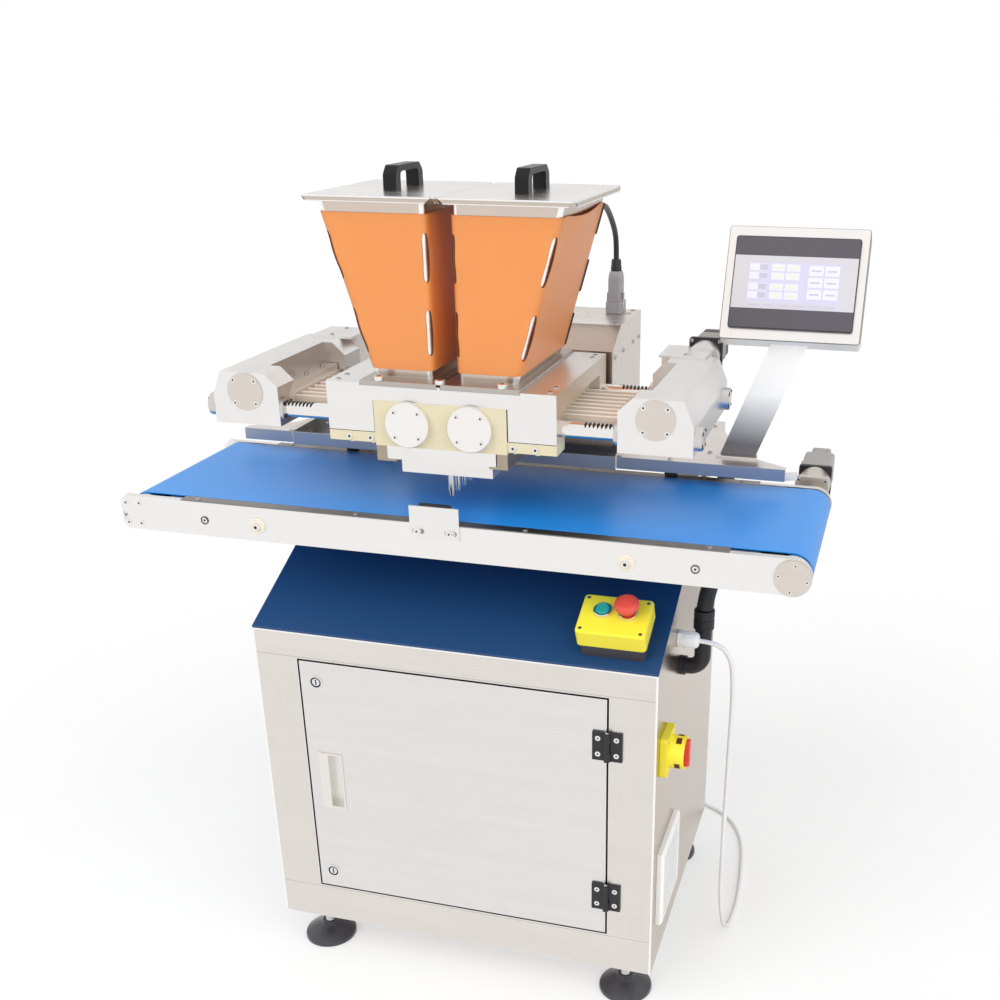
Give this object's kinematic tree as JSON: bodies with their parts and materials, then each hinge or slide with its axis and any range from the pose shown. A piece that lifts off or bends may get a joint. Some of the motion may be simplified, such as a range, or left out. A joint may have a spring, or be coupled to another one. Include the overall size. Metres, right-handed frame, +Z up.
{
  "type": "chocolate depositor",
  "caption": "Floor-standing chocolate depositor: belt conveyor under a piston depositing head with heated twin hoppers, a touch panel on an arm and a stainless stand cabinet.",
  "frame": {"origin": "middle of the footprint on the floor, the free cords left out", "axes": "+Z up from the floor, +X along the belt towards its drive end, +Y from front to back"},
  "size_m": [1.158, 0.7124, 1.397],
  "materials": {
    "stainless": "brushed",
    "polished_steel": "polished",
    "aluminium": "fine machined",
    "navy_paint": "satin",
    "black_metal": "satin",
    "black_plastic": "fine grain",
    "yellow_plastic": "satin",
    "red_plastic": "satin",
    "green_plastic": "satin",
    "white_plastic": "satin",
    "grey_plastic": "fine grain",
    "belt_blue": "matt",
    "cream_plastic": "machined",
    "silicone_orange": "matt",
    "chrome_steel": "polished",
    "foot_rubber": "matt"
  },
  "bodies": {
    "machine": {"cabinet_front_frame": "stainless", "cabinet_panels": "stainless", "slope_panel": "navy_paint", "frame_hinge_leaves": "black_metal", "levelling_feet": "foot_rubber", "control_box_base": "black_plastic", "control_box_cover": "yellow_plastic", "isolator_base": "yellow_plastic", "vent_grille": "white_plastic", "mains_gland": "white_plastic", "mains_lead": "white_plastic", "mains_coil": "white_plastic", "mains_plug": "white_plastic", "cable_conduit": "black_plastic", "conveyor_frame": "aluminium", "conveyor_bed": "stainless", "conveyor_belt": "belt_blue", "sensor_bracket": "stainless", "conveyor_gearmotor": "black_metal", "deck_plate": "stainless", "drip_tray": "stainless", "head_frame": "aluminium", "valve_body": "cream_plastic", "spool_covers": "aluminium", "nozzle_plates": "aluminium", "nozzles": "polished_steel", "rack_rods": "polished_steel", "hoppers": "stainless", "hopper_jackets": "silicone_orange", "valve_drive_box": "stainless", "hopper_connector": "grey_plastic", "hopper_cable": "black_plastic", "hmi_housing": "stainless", "hmi_panel": "grey_plastic", "machine_screws": "polished_steel", "electrical_panel": "grey_plastic"},
    "door": {"cabinet_door": "stainless", "door_pull": "polished_steel", "door_hinge_leaves": "black_metal"},
    "upper_lock": {"upper_door_lock": "chrome_steel"},
    "lower_lock": {"lower_door_lock": "chrome_steel"},
    "start_button": {"start_button": "green_plastic"},
    "estop_button": {"estop_button": "red_plastic"},
    "isolator_knob": {"isolator_knob": "red_plastic"},
    "drive_roller": {"drive_roller": "aluminium"},
    "idler_roller": {"idler_roller": "aluminium"},
    "left_carriage": {"left_carriage": "aluminium", "left_servo": "black_metal", "left_pistons": "cream_plastic"},
    "left_pinion": {"left_pinion_shaft": "polished_steel"},
    "left_motor_gear": {"left_motor_gear": "polished_steel"},
    "right_carriage": {"right_carriage": "aluminium", "right_servo": "black_metal", "right_pistons": "cream_plastic"},
    "right_pinion": {"right_pinion_shaft": "polished_steel"},
    "right_motor_gear": {"right_motor_gear": "polished_steel"},
    "left_spool": {"left_valve_spool": "cream_plastic"},
    "right_spool": {"right_valve_spool": "cream_plastic"},
    "left_lid": {"left_lid": "polished_steel"},
    "right_lid": {"right_lid": "polished_steel"}
  },
  "joints": [
    {"name": "door_hinge", "type": "hinge", "parent": "machine", "child": "door", "pos_m": [0.2565, -0.2812, 0.387], "axis": [0, 0, 1], "range_deg": [0, 110]},
    {"name": "upper_lock_turn", "type": "hinge", "parent": "door", "child": "upper_lock", "pos_m": [-0.253, -0.2758, 0.581], "axis": [0, 1, 0], "range_deg": [0, 90]},
    {"name": "lower_lock_turn", "type": "hinge", "parent": "door", "child": "lower_lock", "pos_m": [-0.256, -0.2758, 0.194], "axis": [0, -1, 0], "range_deg": [0, 90]},
    {"name": "start_press", "type": "slide", "parent": "machine", "child": "start_button", "axis": [0, 0.4226, -0.9063], "range_m": [0, 0.003], "stiffness_N_per_m": 400},
    {"name": "estop_press", "type": "slide", "parent": "machine", "child": "estop_button", "axis": [0, 0.4226, -0.9063], "range_m": [0, 0.005], "stiffness_N_per_m": 800},
    {"name": "isolator_turn", "type": "hinge", "parent": "machine", "child": "isolator_knob", "pos_m": [0.357, -0.2178, 0.507], "axis": [1, 0, 0], "range_deg": [0, 90]},
    {"name": "drive_spin", "type": "hinge", "parent": "machine", "child": "drive_roller", "pos_m": [0.527, -0.1038, 0.8565], "axis": [0, 1, 0], "continuous": true},
    {"name": "idler_spin", "type": "hinge", "parent": "machine", "child": "idler_roller", "pos_m": [-0.54, -0.1038, 0.8565], "axis": [0, 1, 0], "continuous": true},
    {"name": "left_carriage_slide", "type": "slide", "parent": "machine", "child": "left_carriage", "axis": [1, 0, 0], "range_m": [0, 0.065]},
    {"name": "left_pinion_turn", "type": "hinge", "parent": "left_carriage", "child": "left_pinion", "pos_m": [-0.3415, -0.1088, 1.066], "axis": [0, 1, 0], "range_deg": [-5, 225]},
    {"name": "left_motor_turn", "type": "hinge", "parent": "left_carriage", "child": "left_motor_gear", "pos_m": [-0.35, 0.0702, 1.04571], "axis": [0, -1, 0], "range_deg": [-5, 390]},
    {"name": "right_carriage_slide", "type": "slide", "parent": "machine", "child": "right_carriage", "axis": [-1, 0, 0], "range_m": [0, 0.065]},
    {"name": "right_pinion_turn", "type": "hinge", "parent": "right_carriage", "child": "right_pinion", "pos_m": [0.3155, -0.1088, 1.066], "axis": [0, -1, 0], "range_deg": [-5, 225]},
    {"name": "right_motor_turn", "type": "hinge", "parent": "right_carriage", "child": "right_motor_gear", "pos_m": [0.324, 0.0702, 1.08629], "axis": [0, 1, 0], "range_deg": [-5, 390]},
    {"name": "left_spool_turn", "type": "hinge", "parent": "machine", "child": "left_spool", "pos_m": [-0.063, -0.1078, 1.037], "axis": [0, -1, 0], "range_deg": [0, 90]},
    {"name": "right_spool_turn", "type": "hinge", "parent": "machine", "child": "right_spool", "pos_m": [0.037, -0.1078, 1.037], "axis": [0, 1, 0], "range_deg": [0, 90]},
    {"name": "left_lid_lift", "type": "slide", "parent": "machine", "child": "left_lid", "axis": [0, 0, 1], "range_m": [0, 0.15]},
    {"name": "right_lid_lift", "type": "slide", "parent": "machine", "child": "right_lid", "axis": [0, 0, 1], "range_m": [0, 0.15]}
  ],
  "couplings": [
    {"joint": "idler_spin", "follows": "drive_spin", "ratio": 1},
    {"joint": "left_pinion_turn", "follows": "left_carriage_slide", "rad_per_m": 58.824},
    {"joint": "left_motor_turn", "follows": "left_carriage_slide", "rad_per_m": 102.94},
    {"joint": "right_pinion_turn", "follows": "right_carriage_slide", "rad_per_m": 58.824},
    {"joint": "right_motor_turn", "follows": "right_carriage_slide", "rad_per_m": 102.94},
    {"joint": "right_spool_turn", "follows": "left_spool_turn", "ratio": 1}
  ]
}
